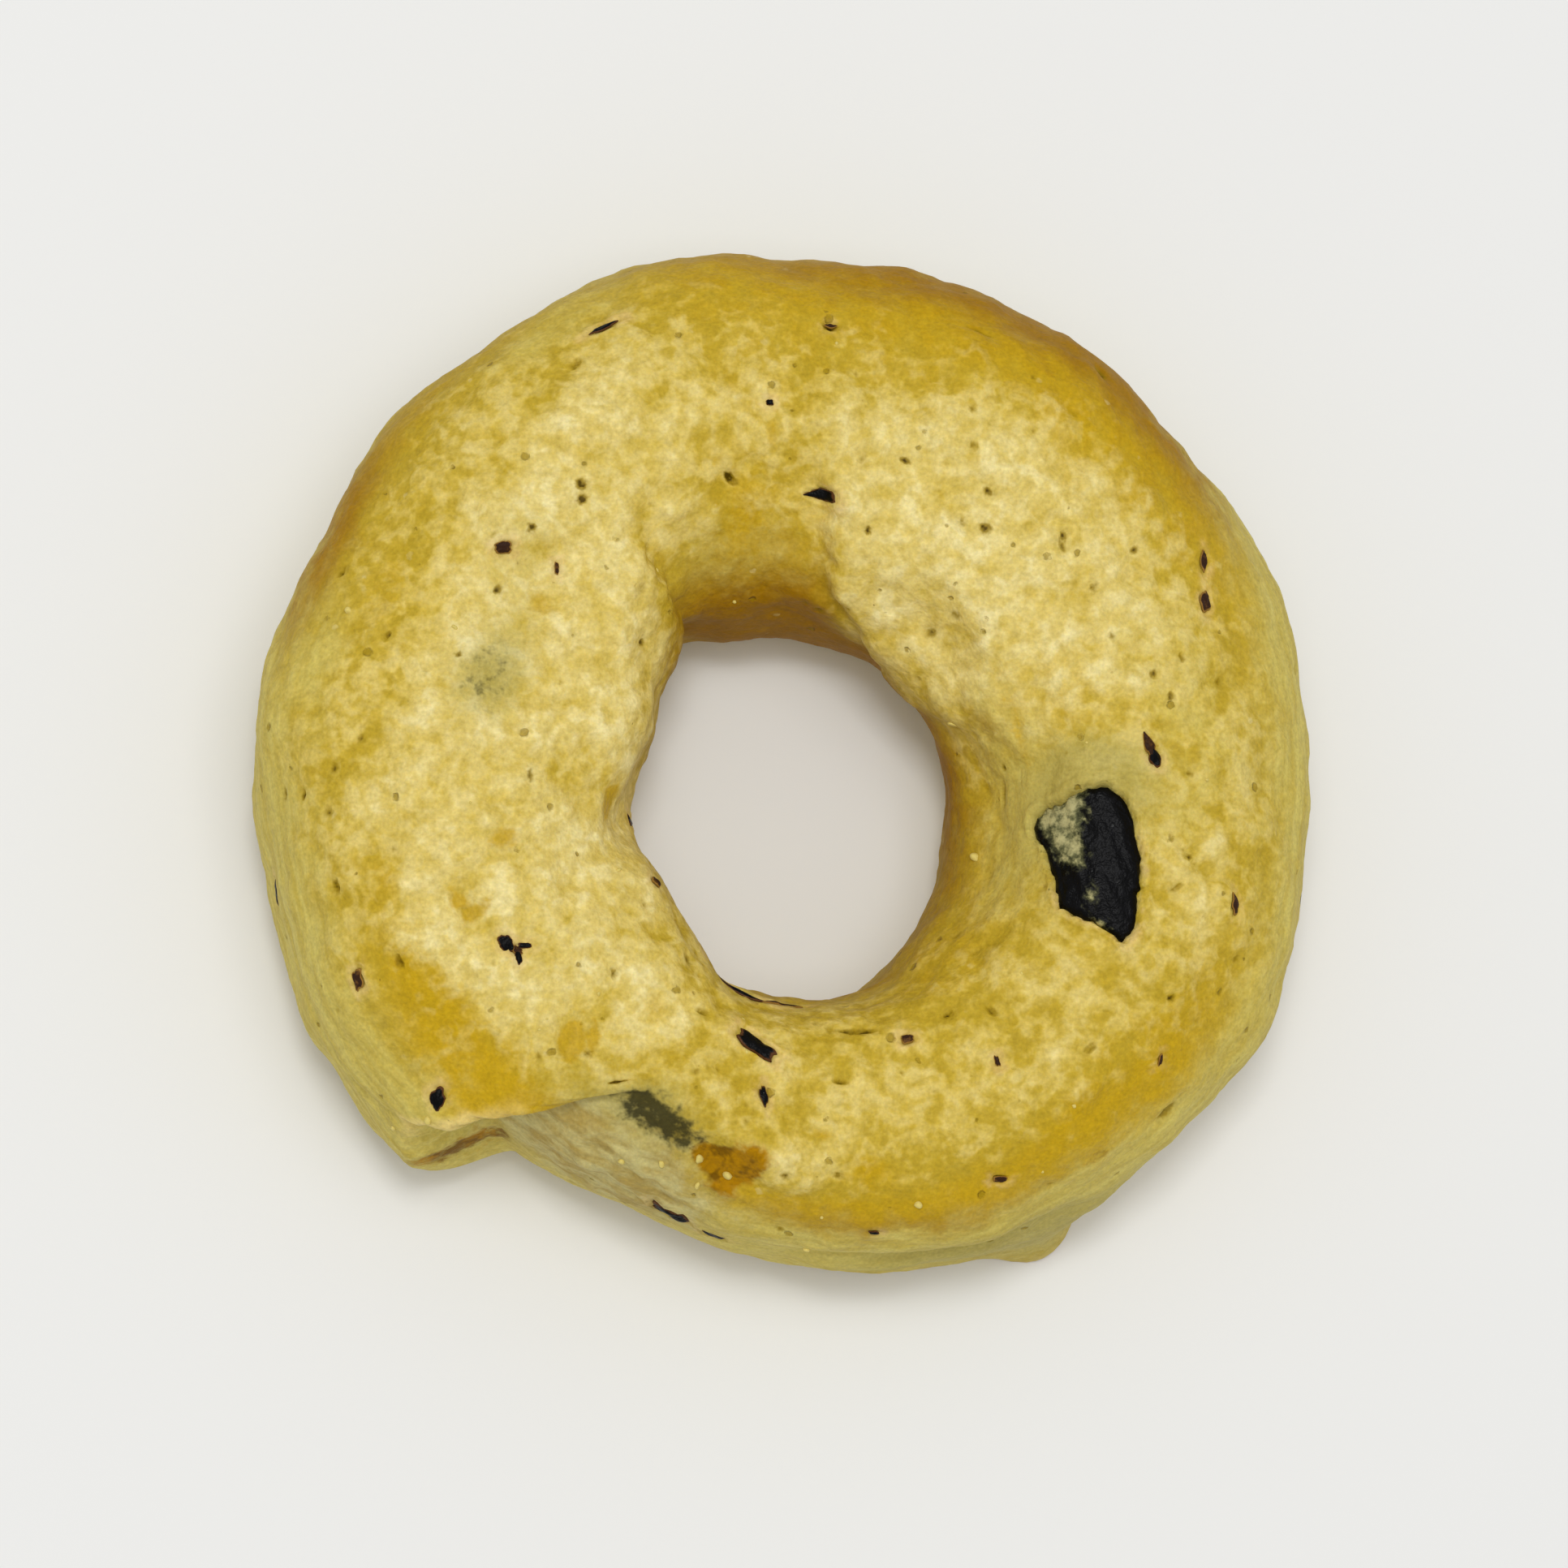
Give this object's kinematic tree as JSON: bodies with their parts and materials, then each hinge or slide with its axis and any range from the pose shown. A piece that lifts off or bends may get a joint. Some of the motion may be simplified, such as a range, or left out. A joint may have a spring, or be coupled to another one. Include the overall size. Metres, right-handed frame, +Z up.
{
  "type": "tarallo",
  "caption": "Small ring-shaped savoury biscuit of olive dough, one rope closed into a ring with lapped ends and shreds of black olive baked into its golden crust.",
  "frame": {"origin": "the middle of the part's box in plan, on the plane of the base it rests on", "axes": "+Z up through the hole, +X and +Y in the plane of the ring with the lapped ends between -X and -Y"},
  "size_m": [0.0366, 0.035, 0.012],
  "materials": {
    "baked_dough": "satin golden crust, paler and greyer on its lower sides",
    "olive_skin": "glossy black olive skin"
  },
  "bodies": {
    "root": {"tarallo": "baked_dough"}
  },
  "joints": []
}
